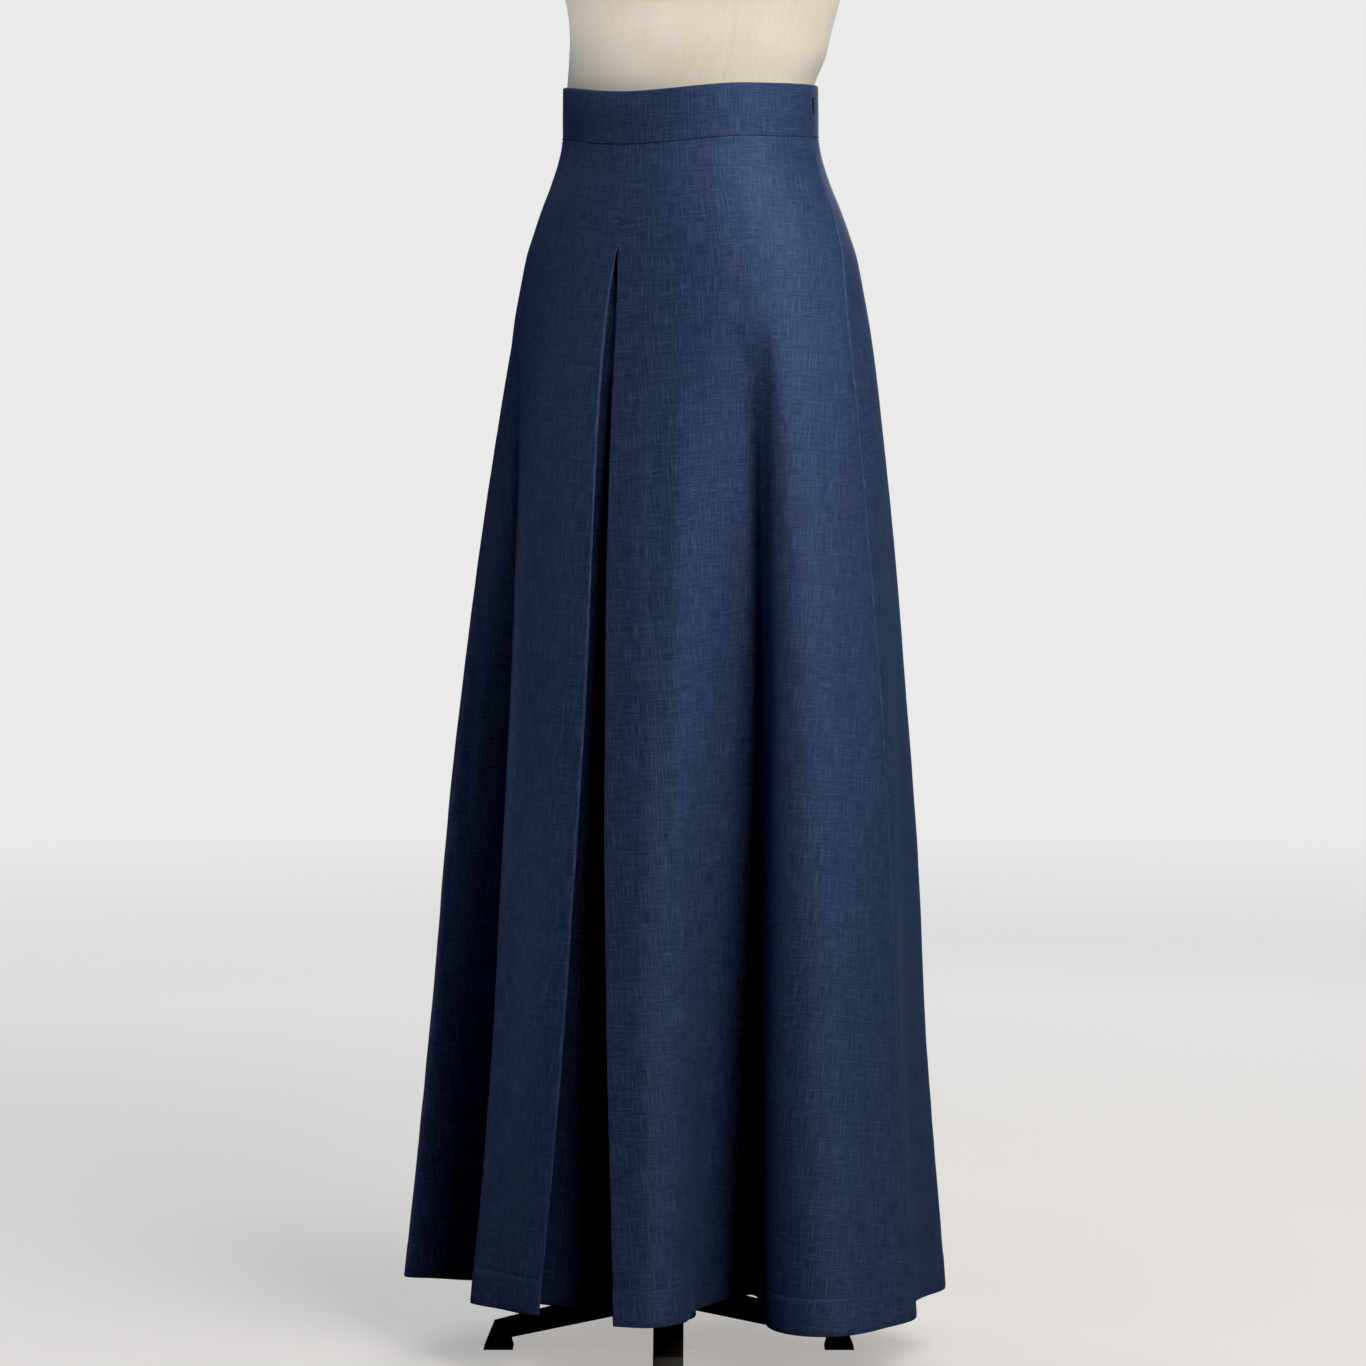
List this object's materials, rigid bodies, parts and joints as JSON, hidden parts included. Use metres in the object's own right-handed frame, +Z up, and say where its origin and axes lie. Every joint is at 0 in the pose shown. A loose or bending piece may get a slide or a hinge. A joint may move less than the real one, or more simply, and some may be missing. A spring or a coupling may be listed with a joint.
{
  "type": "floor-length flared skirt with a front box pleat, on a limbless dress form",
  "caption": "Floor-length flared skirt with a high waistband, an inverted front box pleat and a side zip, worn by a plain dress form on a low cross base.",
  "frame": {"origin": "on the floor under the middle of the skirt's outline; the stand's pole is 19 mm from it", "axes": "+Z up, the front of the skirt faces -Y, the wearer's left (the zip side) is +X"},
  "size_m": [0.5104, 0.4106, 1.5273],
  "materials": {
    "linen": "plain-weave linen, matt, slubbed",
    "linen_band": "plain-weave linen over a firm interlining",
    "zip_enamel": "blue enamel on die-cast metal",
    "form_cover": "fine cream jersey, stretched smooth",
    "stand_metal": "black satin paint"
  },
  "bodies": {
    "root": {"front_left_panel": "linen", "front_right_panel": "linen", "back_panel": "linen", "pleat_underlay": "linen", "waistband_front": "linen_band", "waistband_back": "linen_band", "zip_slider": "zip_enamel", "form_torso": "form_cover", "stand_pole": "stand_metal", "base_hub": "stand_metal", "base_leg_1": "stand_metal", "base_leg_2": "stand_metal", "base_leg_3": "stand_metal", "base_leg_4": "stand_metal"},
    "zip_pull": {"zip_pull_tab": "zip_enamel"}
  },
  "joints": [
    {"name": "pull_tab_swing", "type": "hinge", "parent": "root", "child": "zip_pull", "pos_m": [0.11829, 0.0171, 1.0948], "axis": [0.2129, -0.9771, 0], "range_deg": [0, 165]}
  ]
}
